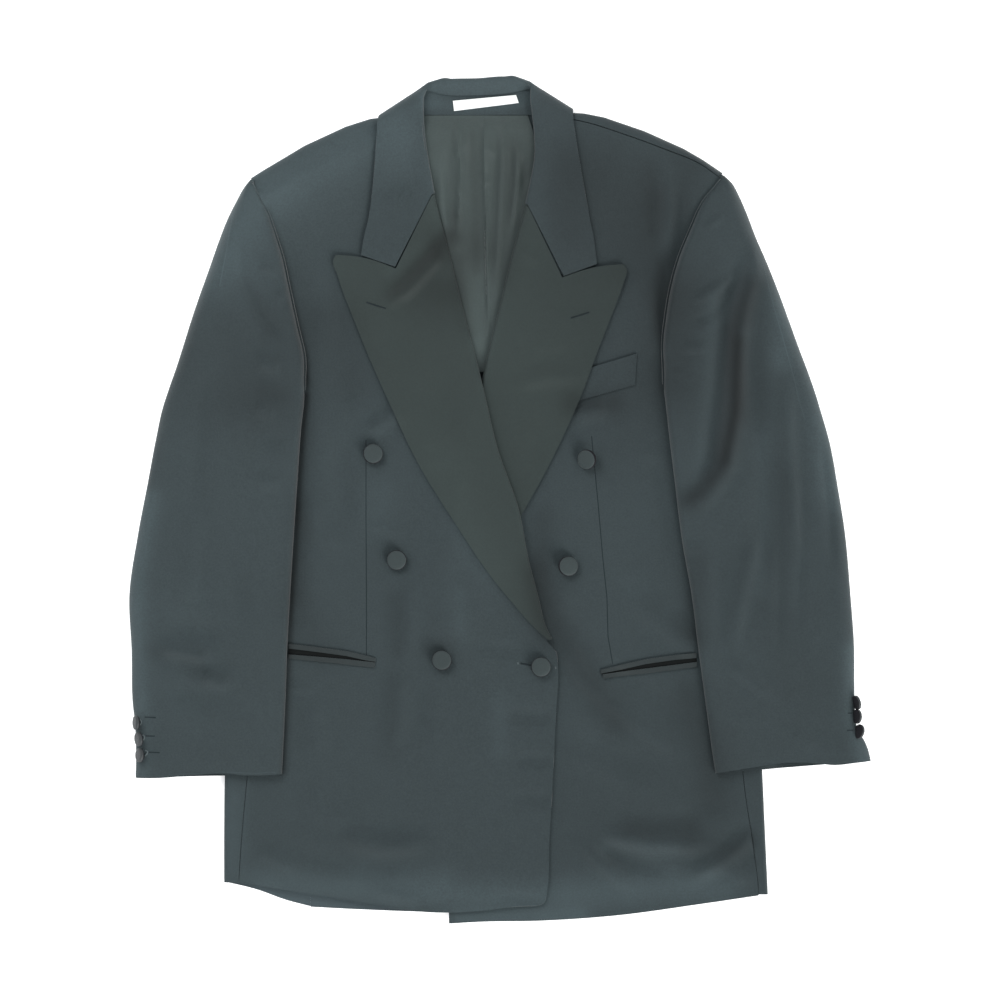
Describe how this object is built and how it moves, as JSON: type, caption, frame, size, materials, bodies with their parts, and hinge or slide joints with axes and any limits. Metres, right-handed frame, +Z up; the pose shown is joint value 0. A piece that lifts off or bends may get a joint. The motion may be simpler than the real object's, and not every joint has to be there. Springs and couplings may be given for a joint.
{
  "type": "double-breasted dinner jacket",
  "caption": "Double-breasted peak-lapel dinner jacket in dark wool with satin lapels, laid flat on its back with the sleeves at its sides.",
  "frame": {"origin": "centre of the jacket's box, on the surface it lies on", "axes": "+X to the viewer's right across the jacket, +Y from the hem to the collar, +Z up from the surface through the front"},
  "size_m": [0.7419, 0.8473, 0.0207],
  "materials": {
    "wool": "fine worsted wool, dark blue-grey, matt",
    "satin": "satin, dark green-grey, soft sheen",
    "lining": "lining satin, grey-green, soft sheen",
    "tape": "woven tape, off-white, blank"
  },
  "bodies": {
    "root": {"back_left": "wool", "back_right": "wool", "side_left": "wool", "side_right": "wool", "front_over": "wool", "front_under": "wool", "collar": "wool", "collar_stand": "wool", "sleeve_left_top": "wool", "sleeve_left_under": "wool", "sleeve_right_top": "wool", "sleeve_right_under": "wool", "lapel_over": "satin", "lapel_under": "satin", "breast_welt": "wool", "jet_left_upper": "satin", "jet_left_lower": "satin", "jet_right_upper": "satin", "jet_right_lower": "satin", "button_left_top": "satin", "button_left_middle": "satin", "button_left_bottom": "satin", "button_right_top": "satin", "button_right_middle": "satin", "button_fastened": "satin", "cuff_button_left_upper": "satin", "cuff_button_left_middle": "satin", "cuff_button_left_lower": "satin", "cuff_button_right_upper": "satin", "cuff_button_right_middle": "satin", "cuff_button_right_lower": "satin", "lining_left": "lining", "lining_right": "lining", "neck_label": "tape"}
  },
  "joints": []
}
